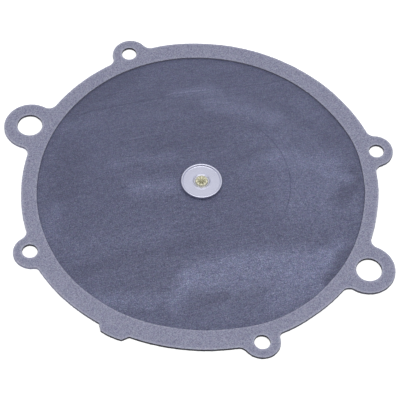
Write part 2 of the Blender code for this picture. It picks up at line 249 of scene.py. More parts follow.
class MembraneSettings(PropertyGroup):
    """The rubberised cloth."""

    cloth_colour: colour_property(
        "Rubber Colour", "Colour of the rubber skin over the cloth", (0.058, 0.062, 0.113)
    )
    # Paler colour that the rubber is drawn towards by its powdery haze and by the painted sheen patches
    bloom_and_sheen_colour: colour_property(
        "Bloom Colour", "Colour of the powdery bloom on the rubber", (0.132, 0.143, 0.236)
    )
    # Partly the dark rubber of the cut, partly painted shade on the upright cut walls
    edge_colour_with_painted_shade: colour_property(
        "Cut Edge Colour", "Colour of the edge that the die leaves", (0.010, 0.010, 0.014)
    )
    thread_pitch: length_property(
        "Thread Pitch", "Distance between threads of the cloth under the rubber", 0.46 * MM
    )
    ripple_height: length_property(
        "Ripple Height", "Height of the long soft ripples along the grain", 0.10 * MM
    )
    crease_height: length_property("Crease Height", "Height of the long crease", 0.10 * MM)
    print_height: length_property(
        "Plate Print Height", "How far the backing plate's rim lifts the cloth", 0.07 * MM
    )
    ragged: length_property("Ragged Edge", "How far loose threads make the cut edge waver", 0.09 * MM)


class HubSettings(PropertyGroup):
    """The pieces of metal at the middle."""

    washer_colour: colour_property(
        "Washer Colour", "Colour of the bright plating on the cup washer", (0.565, 0.57, 0.68)
    )
    plate_colour: colour_property(
        "Plate Colour", "Colour of the pressed backing plate", (0.60, 0.61, 0.63)
    )
    brass_colour: colour_property("Brass Colour", "Colour of the rivet", (0.50, 0.485, 0.365))
    segments: IntProperty(
        name="Segments", description="Facets round each turned piece", min=48, max=256, default=144
    )
    petals: IntProperty(
        name="Petals", description="Petals of the rivet's star-set end", min=4, max=12, default=8
    )
    groove: length_property("Groove", "Depth of the grooves between the petals", 0.34 * MM)


class StudioSettings(PropertyGroup):
    """The floor, the light and the camera."""

    floor_colour: colour_property("Floor Colour", "Colour of the plain floor", (0.90, 0.90, 0.90))
    floor_glow: number_property(
        "Floor Glow", "Light that comes through the floor, as on a light table", 0.32
    )
    floor_size: length_property("Floor Size", "Side of the square floor", 4.0)
    tent_colour: colour_property("Tent Colour", "Colour of the tent's light", (0.97, 0.98, 1.0))
    tent_strength: number_property("Tent Light", "Brightness of the white tent all round", 0.95)
    front_shade: number_property(
        "Front Shade", "Brightness of the tent's front, as a share of the rest", 0.25, subtype="FACTOR"
    )
    key_strength: number_property("Key Light", "Power of the overhead softbox", 5.6, unit="POWER")
    key_size: length_property("Key Size", "Side of the square softbox", 1.1)
    key_place: FloatVectorProperty(
        name="Key Place",
        description="Where the softbox hangs, from the hub's foot",
        subtype="TRANSLATION",
        default=(0.05, -0.27, 0.9),
    )
    elevation: number_property(
        "Camera Elevation", "Angle at which the camera looks down", radians(56.5), subtype="ANGLE"
    )
    roll: number_property(
        "Camera Roll", "How far the camera is turned about its own axis", radians(2.87), subtype="ANGLE"
    )
    distance: length_property(
        "Camera Distance", "Distance from the lens to the point that it looks at", 593.3 * MM
    )
    lens: number_property(
        "Focal Length", "Focal length of the lens, in millimetres", 164.97, unit="CAMERA"
    )


class Value:
    """One output of a node. Arithmetic on values adds Math nodes, so a mask reads as a formula."""

    def __init__(self, finish, socket):
        self.finish = finish
        self.socket = socket

    def maths(self, operation, *values):
        return self.finish.add("ShaderNodeMath", {"operation": operation}, dict(enumerate(values)))

    def __add__(self, other):
        return self.maths("ADD", self, other)

    __radd__ = __add__

    def __mul__(self, other):
        return self.maths("MULTIPLY", self, other)

    __rmul__ = __mul__

    def __sub__(self, other):
        return self.maths("SUBTRACT", self, other)

    def __rsub__(self, other):
        return self.maths("SUBTRACT", other, self)

    def __truediv__(self, other):
        return self.maths("DIVIDE", self, other)

    def __pow__(self, other):
        return self.maths("POWER", self, other)

    def __abs__(self):
        return self.maths("ABSOLUTE", self)

    def sine(self):
        return self.maths("SINE", self)

    def at_least(self, other):
        return self.maths("MAXIMUM", self, other)

    def eased(self, low, high, at_low=0.0, at_high=1.0):
        """Runs smoothly from one value to another while this one goes from low to high."""
        ranges = {"Value": self, "From Min": low, "From Max": high, "To Min": at_low, "To Max": at_high}
        return self.finish.add("ShaderNodeMapRange", {"interpolation_type": "SMOOTHSTEP"}, ranges)


class Finish:
    """The nodes that make a material's surface, or the world's light."""

    def __init__(self, owner, shader="Principled BSDF"):
        owner.use_nodes = True
        self.owner = owner
        self.tree = owner.node_tree
        self.shader = self.tree.nodes[shader]

    def add(self, kind, settings=None, sockets=None, output=0):
        """Adds a node: its settings first, then its sockets' values or links."""
        node = self.tree.nodes.new(kind)
        for name, setting in (settings or {}).items():
            if name == "stops":
                lay_stops(node.color_ramp, setting)
            else:
                setattr(node, name, setting)
        for name, value in (sockets or {}).items():
            self.plug(node.inputs[name], value)
        return Value(self, node.outputs[output])

    def plug(self, socket, value):
        """Links a value to a socket, or sets the socket to a plain number or colour."""
        if isinstance(value, Value):
            self.tree.links.new(value.socket, socket)
        else:
            socket.default_value = value

    def surface(self, **sockets):
        """Sets the shader's own sockets, with spaces written as underscores."""
        for name, value in sockets.items():
            self.plug(self.shader.inputs[name.replace("_", " ")], value)

    def place(self):
        """Where a point of the surface is, in metres."""
        return self.add("ShaderNodeTexCoord", output="Object")

    def part_of(self, vector, axis):
        """One part of a vector."""
        return self.add("ShaderNodeSeparateXYZ", sockets={"Vector": vector}, output=axis)

    def vector(self, operation, *values, output="Vector"):
        """Vector maths."""
        sockets = dict(enumerate(values))
        return self.add("ShaderNodeVectorMath", {"operation": operation}, sockets, output)

    def turned(self, place, angle):
        """The same place along axes turned by an angle about Z."""
        sockets = {"Vector": place, "Rotation": (0.0, 0.0, -angle)}
        return self.add("ShaderNodeMapping", {"vector_type": "POINT"}, sockets)

    def stretched(self, place, x, y=1.0):
        """The same place scaled along its axes. Grain on it runs out long where the scale is small."""
        return self.vector("MULTIPLY", place, (x, y, 1.0))

    def from_axis(self, place):
        """How far a point is from the hub's axis."""
        flat = self.vector("MULTIPLY", place, (1.0, 1.0, 0.0))
        return self.vector("LENGTH", flat, output="Value")

    def grain(self, place, size, detail=2.0, roughness=0.5, output=0):
        """Noise with spots of about one size, from 0 to 1. Its Color output differs by channel."""
        sockets = {"Scale": 1.0 / size, "Detail": detail, "Roughness": roughness}
        sockets["Vector"] = self.tilted(place)
        return self.add("ShaderNodeTexNoise", sockets=sockets, output=output)

    def tilted(self, place):
        """The same place on tilted axes, so that no flat face lies along the noise's lattice."""
        sockets = {"Vector": place, "Rotation": TILT}
        return self.add("ShaderNodeMapping", {"vector_type": "POINT"}, sockets)

    def soft_patch(self, place, spot):
        """A patch with round ends and a soft edge: its strength in its middle and 0 outside it."""
        half = spot.width * MM / 2.0
        sockets = {
            "Vector": place,
            "Location": (spot.x * MM, spot.y * MM, 0.0),
            "Rotation": (0.0, 0.0, radians(spot.turn)),
            "Scale": (half, half, 1.0),
        }
        local = self.add("ShaderNodeMapping", {"vector_type": "TEXTURE"}, sockets)
        beyond = (abs(self.part_of(local, "X")) - (spot.length / spot.width - 1.0)).at_least(0.0)
        aside = self.part_of(local, "Y")
        away = (beyond * beyond + aside * aside) ** 0.5
        return away.eased(1.0 - spot.soft, 1.0, 1.0, 0.0) * spot.strength

    def soft_patches(self, place, spots):
        """Several such patches, added up."""
        return sum(self.soft_patch(place, spot) for spot in spots)

    def mix(self, share, first, second):
        """A colour part of the way from the first to the second."""
        # The node's sockets share their names between types, so the colour ones go by number
        sockets = {"Factor": share, 6: first, 7: second}
        return self.add("ShaderNodeMix", {"data_type": "RGBA"}, sockets, 2)

    def shade(self, colour, amount):
        """A plain colour made darker or lighter."""
        sockets = {0: colour[:], "Scale": amount}
        return self.add("ShaderNodeVectorMath", {"operation": "SCALE"}, sockets)

    def tinted(self, colour, place, size, depths):
        """A colour that drifts a little in hue from spot to spot, by a depth for each channel."""
        hues = self.grain(place, size, output="Color")
        drift = self.vector("MULTIPLY_ADD", hues, depths, [1.0 - depth / 2.0 for depth in depths])
        return self.vector("MULTIPLY", colour, drift)

    def powdered(self, colour, tone, share):
        """A colour made darker or lighter, by a share of the tone's change for each channel."""
        change = self.vector("MULTIPLY_ADD", tone - 1.0, share, (1.0, 1.0, 1.0))
        return self.vector("MULTIPLY", colour, change)

    def worn(self):
        """Wear on a sheet's upper edges and painted light on its cut walls, from its mesh."""
        return self.add("ShaderNodeAttribute", {"attribute_name": WEAR_AND_WALL_LIGHT}, output="Fac")

    def upright(self):
        """1 on faces that stand upright and 0 on faces that lie flat."""
        normal = self.add("ShaderNodeNewGeometry", output="True Normal")
        return abs(self.part_of(normal, "Z")).eased(0.45, 0.8, 1.0, 0.0)

    def raise_by(self, height):
        """Feeds a height in metres to the shader's normal."""
        sockets = {"Strength": 1.0, "Distance": 1.0, "Height": height}
        self.surface(Normal=self.add("ShaderNodeBump", sockets=sockets))


def new_finish(name):
    """A new material, ready for its nodes."""
    return Finish(bpy.data.materials.new(name))


def lay_stops(ramp, stops):
    """Sets a ramp's stops from (position, colour) pairs."""
    while len(ramp.elements) > 1:
        ramp.elements.remove(ramp.elements[-1])
    ramp.elements[0].position = stops[0][0]
    ramp.elements[0].color = stops[0][1]
    for position, colour in stops[1:]:
        ramp.elements.new(position).color = colour


def opaque(colour):
    """A colour with its alpha."""
    return (*colour, 1.0)


def polar(radius, angle, height=0.0):
    """A point round the hub's axis."""
    return Vector((radius * cos(angle), radius * sin(angle), height))


def bearing(point):
    """The angle round the hub's axis at which a point stands."""
    return atan2(point.y, point.x)


def smooth(value, low=0.0, high=1.0):
    """Runs smoothly from 0 to 1 while a number goes from low to high, and holds outside."""
    share = min(1.0, max(0.0, (value - low) / (high - low)))
    return share * share * (3.0 - 2.0 * share)


def out_of_true(point):
    """Moves a point of the sheets with the ring, which isn't quite round."""
    turn = degrees(bearing(point))
    last, first = OUT_OF_TRUE[-1], OUT_OF_TRUE[0]
    stations = [last._replace(bearing=last.bearing - 360.0), *OUT_OF_TRUE]
    stations.append(first._replace(bearing=first.bearing + 360.0))
    for before, after in zip(stations, stations[1:]):
        if before.bearing <= turn <= after.bearing:
            share = smooth(turn, before.bearing, after.bearing)
            opening = before.opening + (after.opening - before.opening) * share
            outline = before.outline + (after.outline - before.outline) * share
    radius = point.xy.length
    inside = smooth(radius, SLACK_INNER, RING_INNER_RADIUS)
    blend = 0.8 * RING_WIDTH
    outside = smooth(radius, RING_INNER_RADIUS, RING_INNER_RADIUS + blend)
    shift = (opening + (outline - opening) * outside) * inside
    return point + polar(shift * MM, radians(turn))


def closed_chains(edges):
    """Sorts edges into closed chains and returns the points of each, longest chain first."""
    waiting = {edge.index: edge for edge in edges}
    chains = []
    while waiting:
        edge = waiting.pop(next(iter(waiting)))
        first, corner = edge.verts
        chain = [first.co.copy()]
        while corner is not first:
            chain.append(corner.co.copy())
            edge = next(link for link in corner.link_edges if link.index in waiting)
            del waiting[edge.index]
            corner = edge.other_vert(corner)
        chains.append(chain)
    return sorted(chains, key=round_length, reverse=True)


def neighbours(chain):
    """The pairs of neighbours all the way round a closed chain."""
    return zip(chain, chain[1:] + chain[:1])


def round_length(points):
    """Length all the way round a closed chain of points."""
    return sum((b - a).length for a, b in neighbours(points))


def enclosed(points):
    """Area inside a closed chain in the plane, positive where it runs anticlockwise."""
    return sum(a.x * b.y - a.y * b.x for a, b in neighbours(points)) / 2.0


def anticlockwise(points):
    """The same closed chain in the plane, run anticlockwise."""
    return points if enclosed(points) > 0.0 else points[::-1]


def cut_edges(node):
    """The closed edges of a flat CAD node's upper face: the outside, the middle, then the holes."""
    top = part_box(node)[1].z
    bm = bmesh.new()
    bm.from_mesh(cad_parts[node].data)
    bmesh.ops.remove_doubles(bm, verts=bm.verts[:], dist=WELD)
    bm.edges.index_update()
    brink = []
    for edge in bm.edges:
        level = all(abs(corner.co.z - top) < WELD for corner in edge.verts)
        lying = [face for face in edge.link_faces if abs(face.normal.z) > 0.9]
        if level and len(lying) == 1:
            brink.append(edge)
    chains = [anticlockwise(chain) for chain in closed_chains(brink)]
    bm.free()
    return [[point.xy.to_3d() for point in chain] for chain in chains]


def circle_centre(a, b, c):
    """Centre of the circle through three points in the plane, or None where they stand in line."""
    u = b - a
    v = c - a
    twice = 2.0 * (u.x * v.y - u.y * v.x)
    if abs(twice) < 1e-4 * u.length * v.length:
        return None
    x = (v.y * u.length_squared - u.y * v.length_squared) / twice
    y = (u.x * v.length_squared - v.x * u.length_squared) / twice
    return a + Vector((x, y, 0.0))


def follow_arcs(points, step):
    """Adds points to a closed chain, on the arcs that its corners lie on, about a step apart."""
    count = len(points)
    centres = [circle_centre(points[i - 1], points[i], points[(i + 1) % count]) for i in range(count)]
    finer = []
    for i, (here, following) in enumerate(neighbours(points)):
        near = [centres[(i + k) % count] for k in (-1, 0, 1, 2)]
        centre = shared_centre(near, here)
        pieces = max(1, ceil((following - here).length / step))
        for k in range(pieces):
            share = k / pieces
            point = here.lerp(following, share)
            if centre is not None and k > 0:
                radius = (here - centre).length * (1.0 - share) + (following - centre).length * share
                point = centre + (point - centre).normalized() * radius
            finer.append(point)
    return finer


def shared_centre(centres, here):
    """The centre of the arc that an edge lies on, told by the corners on either side of it."""
    for first, second in ((1, 2), (2, 3), (0, 1)):
        a, b = centres[first], centres[second]
        if a is None or b is None:
            continue
        radius = (a - here).length
        if (a - b).length < CENTRE_MATCH * radius and radius < LARGEST_ARC:
            return b if first == 0 else a
    return None


def shifted(points, inwards, height, ragged, grain):
    """A closed anticlockwise chain moved inwards and stood at a height, with a ragged edge."""
    count = len(points)
    moved = []
    for i, point in enumerate(points):
        along = (points[(i + 1) % count] - points[i - 1]).normalized()
        inward = Vector((-along.y, along.x, 0.0))
        at = Vector((point.x, point.y, height)) / grain
        waver = ragged * noise.noise(at)
        moved.append(point + inward * (inwards + waver) + Vector((0.0, 0.0, height)))
    return moved


def add_chain(bm, points):
    """Adds the corners and edges of a closed chain."""
    corners = [bm.verts.new(point) for point in points]
    edges = [bm.edges.new(pair) for pair in neighbours(corners)]
    return corners, edges


def join_chains(bm, lower, upper):
    """Joins two closed chains of as many corners by a band of faces, down to a point where one is."""
    for (a, b), (d, c) in zip(neighbours(lower), neighbours(upper)):
        bm.faces.new(list(dict.fromkeys((a, b, c, d))))


def fill_between(bm, edges, up):
    """Fills a flat region bounded by closed chains."""
    made = bmesh.ops.triangle_fill(bm, edges=edges, normal=(0.0, 0.0, 1.0), use_beauty=True)
    faces = [item for item in made["geom"] if isinstance(item, bmesh.types.BMFace)]
    for face in faces:
        if (face.normal.z > 0.0) != up:
            face.normal_flip()


def in_opening(point):
    """Whether a corner of a cut edge stands in the ring's opening."""
    return point.xy.length < RING_INNER_RADIUS + OPENING_MARGIN


def handled(point):
    """How much handling has rubbed a cut's upper edge paler: less in the opening."""
    return 0.35 if in_opening(point) else 1.0


def painted_wall_light(point, outline):
    """Painted light on a cut wall, where light falls on it: all round the opening, on the outline most
    at the left and not at all in the middle, and barely in the holes.
    """
    x, y = point.x / MM, point.y / MM
    if outline:
        return 1.3 * smooth(x, -22.0, -48.0) + 0.3 * smooth(x, 20.0, 34.0)
    if in_opening(point):
        return 1.0
    return 0.15 * smooth(x - y, 65.0, 45.0)


def stand_walls(bm, chains, levels, ragged, grain):
    """Stands a wall on the outside chain and on each hole, from the underside up. Returns the edges
    of the lowest and the highest ring.
    """
    worn = bm.verts.layers.float.new(WEAR_AND_WALL_LIGHT)
    lowest = []
    highest = []
    for i, chain in enumerate(chains):
        side = 1.0 if i == 0 else -1.0
        below = None
        for inset, height, wear in levels:
            ring, edges = add_chain(bm, shifted(chain, side * inset, height, ragged, grain))
            for corner in ring:
                # Cut walls hold painted light, the upper edges hold wear
                corner[worn] = painted_wall_light(corner.co, i == 0) if wear is None else wear * handled(corner.co)
            if below is None:
                lowest += edges
            else:
                join_chains(bm, *((below, ring) if i == 0 else (ring, below)))
            below = ring
        highest += edges
    return lowest, highest


def new_object(name, data):
    """A new object in the scene."""
    made = bpy.data.objects.new(name, data)
    bpy.context.scene.collection.objects.link(made)
    return made


def new_piece(name, bm, finish):
    """A new mesh object in the scene, with one material."""
    mesh = bpy.data.meshes.new(name)
    bm.to_mesh(mesh)
    bm.free()
    mesh.materials.append(finish.owner)
    return new_object(name, mesh)


def dress(name, bm, node, finish, sharp=35.0):
    """Makes a finished piece that stands for a CAD node."""
    piece = new_piece(name, bm, finish)
    piece.data.shade_smooth()
    piece.data.set_sharp_from_angle(angle=radians(sharp))
    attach(piece, "root")
    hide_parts(node)
    return piece


def sheet_chains():
    """The die's cut through both sheets: finely spaced and slightly out of round."""
    chains = [follow_arcs(chain, CUT_STEP) for chain in cut_edges("gasket_ring")]
    return [[out_of_true(point) for point in chain] for chain in chains]


def fibre_finish(settings):
    """Grey pressed fibre: flecks, short fibres, cloudy mottling, a paler band of wear along the upper
    edges, and cut walls in a darker colour that is painted shade, paler where painted light falls on
    them.
    """
    finish = new_finish("grey gasket fibre")
    place = finish.place()
    flecks = finish.grain(place, settings.fleck_size, roughness=0.6)
    blots = finish.grain(place, 0.8 * MM)
    clouds = finish.grain(place, 6.0 * MM)
    hairs = 0.0
    for turn in (35.0, -50.0):
        lying = finish.stretched(finish.turned(place, radians(turn)), 0.16)
        hairs = hairs + finish.grain(lying, 0.16 * MM, detail=1.0).eased(0.66, 0.78)
    tone = 1.0 + 2.15 * (flecks - 0.5) + 0.55 * (blots - 0.5) + 0.12 * (clouds - 0.5) + 0.16 * hairs
    # Wear on the upper edges and painted light on the cut walls
    worn = finish.worn()
    fibre = finish.powdered(settings.fibre_colour[:], tone + 0.42 * worn, (1.0, 1.0, 0.76))
    face = finish.tinted(fibre, place, 0.9 * MM, (0.16, 0.16, 0.14))
    # Cut walls: painted shade in the darker edge colour, lifted by the painted light on the lit walls
    edge = finish.shade(settings.edge_colour_with_painted_shade, tone * (1.0 + 4.7 * worn))
    finish.surface(Base_Color=finish.mix(finish.upright(), face, edge), Specular_IOR_Level=0.15)
    finish.surface(Roughness=0.78 + 0.2 * (flecks - 0.5))
    finish.raise_by(flecks * (0.035 * MM) + hairs * (0.012 * MM))
    return finish


def crease_offset(finish, place):
    """How far a point stands from the crease in metres, how strong the crease is there, and how far
    along it the point stands, from 0 to 1.
    """
    across = finish.part_of(place, "X")
    (start, low), (end, high) = CREASE[0], CREASE[-1]
    stops = []
    for x, y in CREASE:
        grey = (y - low) / (high - low)
        stops.append(((x - start) / (end - start), (grey, grey, grey, 1.0)))
    share = (across - start * MM) / ((end - start) * MM)
    curve = finish.add("ShaderNodeValToRGB", {"stops": stops}, {"Fac": share})
    height = finish.part_of(curve, "X") * ((high - low) * MM) + low * MM
    offset = finish.part_of(place, "Y") - height
    strength = share.eased(0.0, 0.06) * share.eased(0.9, 1.0, 1.0, 0.0)
    return offset, strength, share


def plate_print(finish, place):
    """The thin line that the plate's rim has left, clearest on the right."""
    ahead = finish.vector("DOT_PRODUCT", place, polar(1.0, PRINT_BEARING), output="Value") / PRINT_RADIUS
    off_line = abs(finish.from_axis(place) - PRINT_RADIUS)
    return off_line.eased(0.0, 0.4 * MM, 1.0, 0.0) * ahead.eased(0.72, 0.86)


def crease_lines(finish, place):
    """The crease as a thin line, and the change it makes to the rubber's tone: a painted highlight along
    its middle, and painted shade along the rest of it and just on its near side along the middle.
    """
    offset, strength, share = crease_offset(finish, place)
    line = abs(offset).eased(0.0, 0.34 * MM, 1.0, 0.0) * strength
    # Painted highlight along the crease's middle, painted shade on the rest of it and beside it
    bright = abs(share - 0.54).eased(0.07, 0.13, 1.0, 0.0)
    shaded = abs(offset + 0.5 * MM).eased(0.0, 0.4 * MM, 1.0, 0.0) * strength * bright
    return line, line * bright * 0.65 - line * (1.0 - bright) * 0.3 - 0.14 * shaded


def cloth_bloom_and_sheen(finish, place, level, streaks):
    """How far the rubber is drawn towards its paler colour: powdery haze in fine streaks along the
    grain, and patches that stray, which are painted sheen and painted shade with some haze.
    """
    wide = finish.grain(finish.stretched(level, 0.25), 9.0 * MM)
    fine = finish.grain(finish.stretched(level, 0.03), 0.7 * MM, detail=1.0)
    stray = finish.vector("SUBTRACT", finish.grain(level, 5.0 * MM, output="Color"), (0.5, 0.5, 0.5))
    stray = finish.vector("MULTIPLY", stray, (4.0 * MM, 2.5 * MM, 0.0))
    # Patches of painted sheen and painted shade, moved a little by noise
    patches = finish.soft_patches(finish.vector("ADD", place, stray), BLOOM_SHEEN_AND_SHADE_PATCHES)
    return 0.145 + 0.26 * (streaks - 0.5) + 0.2 * (wide - 0.5) + 0.24 * (fine - 0.5) + patches


def rubber_finish(settings):
    """Dark rubber skin over cloth: threads, streaks along the grain, powdery haze with patches of
    painted sheen and painted shade, a crease with a painted highlight and painted shade, bright specks
    that are partly painted glints, nicks, and cut walls in painted shade.
    """
    finish = new_finish("dark rubberised cloth")
    place = finish.place()
    level = finish.turned(place, GRAIN_ANGLE)
    thread = tau / settings.thread_pitch
    warp = (finish.part_of(level, "X") * thread).sine()
    weft = (finish.part_of(level, "Y") * thread).sine()
    weave = warp * weft
    specks = finish.grain(place, 0.32 * MM, roughness=0.6)
    along = finish.grain(finish.stretched(level, 0.2), 0.42 * MM, roughness=0.6)
    across = finish.grain(finish.stretched(level, 1.0, 0.2), 0.42 * MM, roughness=0.6)
    threads = 0.65 * along + 0.35 * across
    streaks = finish.grain(finish.stretched(level, 0.07), 2.4 * MM, detail=3.0, roughness=0.6)
    marks = finish.soft_patches(place, NICKS) * specks.eased(0.35, 0.6)
    # The crease's line, and its painted highlight and painted shade as a change of tone
    line, crease_glint_and_shade = crease_lines(finish, place)
    lines = crease_glint_and_shade - 0.36 * plate_print(finish, place)

    # Bright specks: dust, and painted glints of the rubber's sparkle
    sockets = {"Vector": place, "Scale": 1.0 / (0.55 * MM)}
    sparkle = finish.add("ShaderNodeTexVoronoi", {"feature": "F1"}, sockets, "Distance")
    dust_and_glints = sparkle.eased(0.05, 0.3, 1.0, 0.0) * finish.grain(place, 1.0 * MM).eased(0.45, 0.6)

    # The rubber's powdery haze together with its patches of painted sheen and painted shade
    bloom_and_sheen = cloth_bloom_and_sheen(finish, place, level, streaks)
    rubber = finish.mix(bloom_and_sheen, opaque(settings.cloth_colour), opaque(settings.bloom_and_sheen_colour))
    nearness = finish.part_of(place, "Y").eased(-40.0 * MM, 50.0 * MM, 1.0, 0.72)
    speck = specks - 0.5
    # Fine grain of the rubber and its threads, with the bright specks that are partly painted glints
    grit_and_glints = 1.0 + nearness * (3.7 * speck + 7.0 * speck * speck + 1.8 * (threads - 0.5) + 0.9 * dust_and_glints)
    tone = grit_and_glints * (1.0 + lines + 0.4 * marks)
    face = finish.powdered(rubber, tone, (1.0, 0.98, 0.76))
    face = finish.tinted(face, place, 0.7 * MM, (0.42, 0.42, 0.3))
    # Cut walls: dark rubber darkened further as painted shade, lifted by the painted light on the lit
    # walls
    edge = finish.shade(settings.edge_colour_with_painted_shade, 1.0 + 14.0 * finish.worn())
    finish.surface(Base_Color=finish.mix(finish.upright(), face, edge), Specular_IOR_Level=0.45)
    finish.surface(Roughness=0.58 + 0.12 * (specks - 0.5) - 0.08 * (streaks - 0.5))
    relief = weave * (0.008 * MM) + threads * (0.03 * MM) + specks * (0.018 * MM)
    finish.raise_by(relief + line * (0.03 * MM) + marks * (0.03 * MM))
    return finish


def plated_finish(name, colour, roughness, pitch):
    """Bright metal with the fine rings that turning or pressing leaves, and faint stains."""
    finish = new_finish(name)
    place = finish.place()
    sockets = {"W": finish.from_axis(place), "Scale": 1.0 / pitch, "Detail": 2.0}
    rings = finish.add("ShaderNodeTexNoise", {"noise_dimensions": "1D"}, sockets)
    stains = finish.grain(place, 2.6 * MM, detail=3.0)
    tone = 1.0 + 0.08 * (rings - 0.5) + 0.10 * (stains - 0.5)
    finish.surface(Base_Color=finish.shade(colour, tone), Metallic=1.0)
    finish.surface(Roughness=roughness + 0.10 * (rings - 0.5) + 0.10 * (stains - 0.5))
    finish.raise_by(rings * (0.004 * MM))
    return finish


def slack_underside(radius, angle):
    """Height of the slack membrane's underside, as in the CAD."""
    share = min(1.0, max(0.0, (SLACK_OUTER - radius) / (SLACK_OUTER - SLACK_INNER)))
    rise = 0.5 - 0.5 * cos(pi * share ** SLOPE_BIAS)
    waves = sum(wave.share * sin(wave.lobes * angle + radians(wave.turn)) for wave in WAVES)
    return HUB_UNDERSIDE * rise + WAVE_HEIGHT * 4.0 * rise * (1.0 - rise) * waves


def crease_height_at(point):
    """How much of the crease's height a point of the cloth has."""
    x, y = point.x / MM, point.y / MM
    for (start, low), (end, high) in zip(CREASE, CREASE[1:]):
        if start <= x <= end:
            line = low + (high - low) * (x - start) / (end - start)
            share = (x - CREASE[0][0]) / (CREASE[-1][0] - CREASE[0][0])
            ends = smooth(share, 0.0, 0.1) * smooth(share, 1.0, 0.8)
            return ends * exp(-((y - line) / 0.9) ** 2)
    return 0.0


def cloth_relief(settings, point):
    """How far folds, ripples and the plate's print lift the cloth's upper face."""
    radius = point.xy.length
    free = smooth(radius, SLACK_OUTER, SLACK_OUTER - 4.0 * MM)
    rim = exp(-((radius - PLATE_RADIUS) / (0.7 * MM)) ** 2)
    facing = 0.6 + 0.4 * cos(bearing(point) - radians(10.0))
    along = point.x * cos(GRAIN_ANGLE) + point.y * sin(GRAIN_ANGLE)
    across = point.y * cos(GRAIN_ANGLE) - point.x * sin(GRAIN_ANGLE)
    ripple = noise.noise(Vector((along / (38.0 * MM), across / (7.0 * MM), 0.0)))
    lift = settings.print_height * rim * facing
    lift += settings.crease_height * crease_height_at(point)
    lift += settings.ripple_height * ripple * smooth(radius, 9.0 * MM, 17.0 * MM)
    return lift * free


class DIAPHRAGM_OT_lay_membrane(Operator):
    """Lay the rubberised cloth with its flange, slack part and raised middle"""

    bl_idname = "diaphragm.lay_membrane"
    bl_label = "Lay Membrane"

    def execute(self, context):
        settings = context.scene.diaphragm_membrane
        outer, _middle, *holes = sheet_chains()
        bm = bmesh.new()
        top = MEMBRANE_THICKNESS
        roll = top / 4.0
        levels = [
            Level(0.0, 0.0),
            Level(-0.03 * MM, top / 2.0),
            Level(0.0, top - roll),
            Level(0.3 * roll, top - 0.3 * roll),
            Level(roll, top, 0.0),
        ]
        lowest, highest = stand_walls(bm, [outer, *holes], levels, settings.ragged, grain=0.9 * MM)
        upper = self.grow_face(bm, highest, UPPER_RINGS, True, settings)
        lower = self.grow_face(bm, lowest, LOWER_RINGS, False, settings)
        join_chains(bm, lower, upper)
        bmesh.ops.recalc_face_normals(bm, faces=bm.faces[:])
        finish = rubber_finish(settings)
        piece = dress("membrane_cloth", bm, "membrane", finish, sharp=50.0)
        area = enclosed(outer) - sum(enclosed(hole) for hole in holes)
        return {"FINISHED"}

    def grow_face(self, bm, edges, rings, upper, settings):
        """Fills the flange, then steps rings of faces inwards over the slack part and the middle."""
        thickness = MEMBRANE_THICKNESS if upper else 0.0
        previous = None
        for step in range(rings + 1):
            share = step / rings
            radius = SLACK_OUTER + (HUB_HOLE_RADIUS - SLACK_OUTER) * share
            points = []
            for i in range(SLACK_SEGMENTS):
                angle = tau * i / SLACK_SEGMENTS
                point = polar(radius, angle, slack_underside(radius, angle) + thickness)
                if upper:
                    point.z += cloth_relief(settings, point)
                points.append(out_of_true(point))
            ring, ring_edges = add_chain(bm, points)
            if previous is None:
                fill_between(bm, edges + ring_edges, upper)
            else:
                join_chains(bm, *((previous, ring) if upper else (ring, previous)))
            previous = ring
        return previous


class DIAPHRAGM_OT_lay_gasket(Operator):
    """Lay the fibre gasket on the membrane's flange"""

    bl_idname = "diaphragm.lay_gasket"
    bl_label = "Lay Gasket"

    def execute(self, context):
        settings = context.scene.diaphragm_gasket
        bm = bmesh.new()
        roll = settings.edge_roll
        base, top = MEMBRANE_THICKNESS, GASKET_TOP
        levels = [
            Level(0.0, base),
            Level(0.02 * MM, base + 0.35 * GASKET_THICKNESS),
            Level(0.0, base + 0.7 * GASKET_THICKNESS),
            Level(0.0, top - roll),
            Level(0.3 * roll, top - 0.3 * roll, 1.0),
            Level(roll, top, 1.0),
            Level(settings.worn_width, top, 0.0),
        ]
        lowest, highest = stand_walls(bm, sheet_chains(), levels, settings.ragged, grain=0.6 * MM)
        fill_between(bm, highest, True)
        fill_between(bm, lowest, False)
        bmesh.ops.recalc_face_normals(bm, faces=bm.faces[:])
        finish = fibre_finish(settings)
        dress("gasket_fibre_ring", bm, "gasket_ring", finish, sharp=40.0)
        return {"FINISHED"}


def turned_piece(profile, segments):
    """Turns a profile of (radius, height) points round the hub's axis into a closed shape."""
    bm = bmesh.new()
    rings = []
    for radius, height in profile:
        if radius > WELD:
            points = [polar(radius, tau * i / segments, height) for i in range(segments)]
            rings.append([bm.verts.new(point) for point in points])
        else:
            rings.append([bm.verts.new((0.0, 0.0, height))] * segments)
    hollow = profile[0][0] > WELD and profile[-1][0] > WELD
    for lower, upper in neighbours(rings) if hollow else zip(rings, rings[1:]):
        join_chains(bm, lower, upper)
    bmesh.ops.recalc_face_normals(bm, faces=bm.faces[:])
    return bm


def bend(radius, height, size, start, end, count=10):
    """Profile points round a bend, from one direction to another in degrees."""
    turns = [radians(start + (end - start) * i / count) for i in range(count + 1)]
    return [(radius + size * cos(turn), height + size * sin(turn)) for turn in turns]


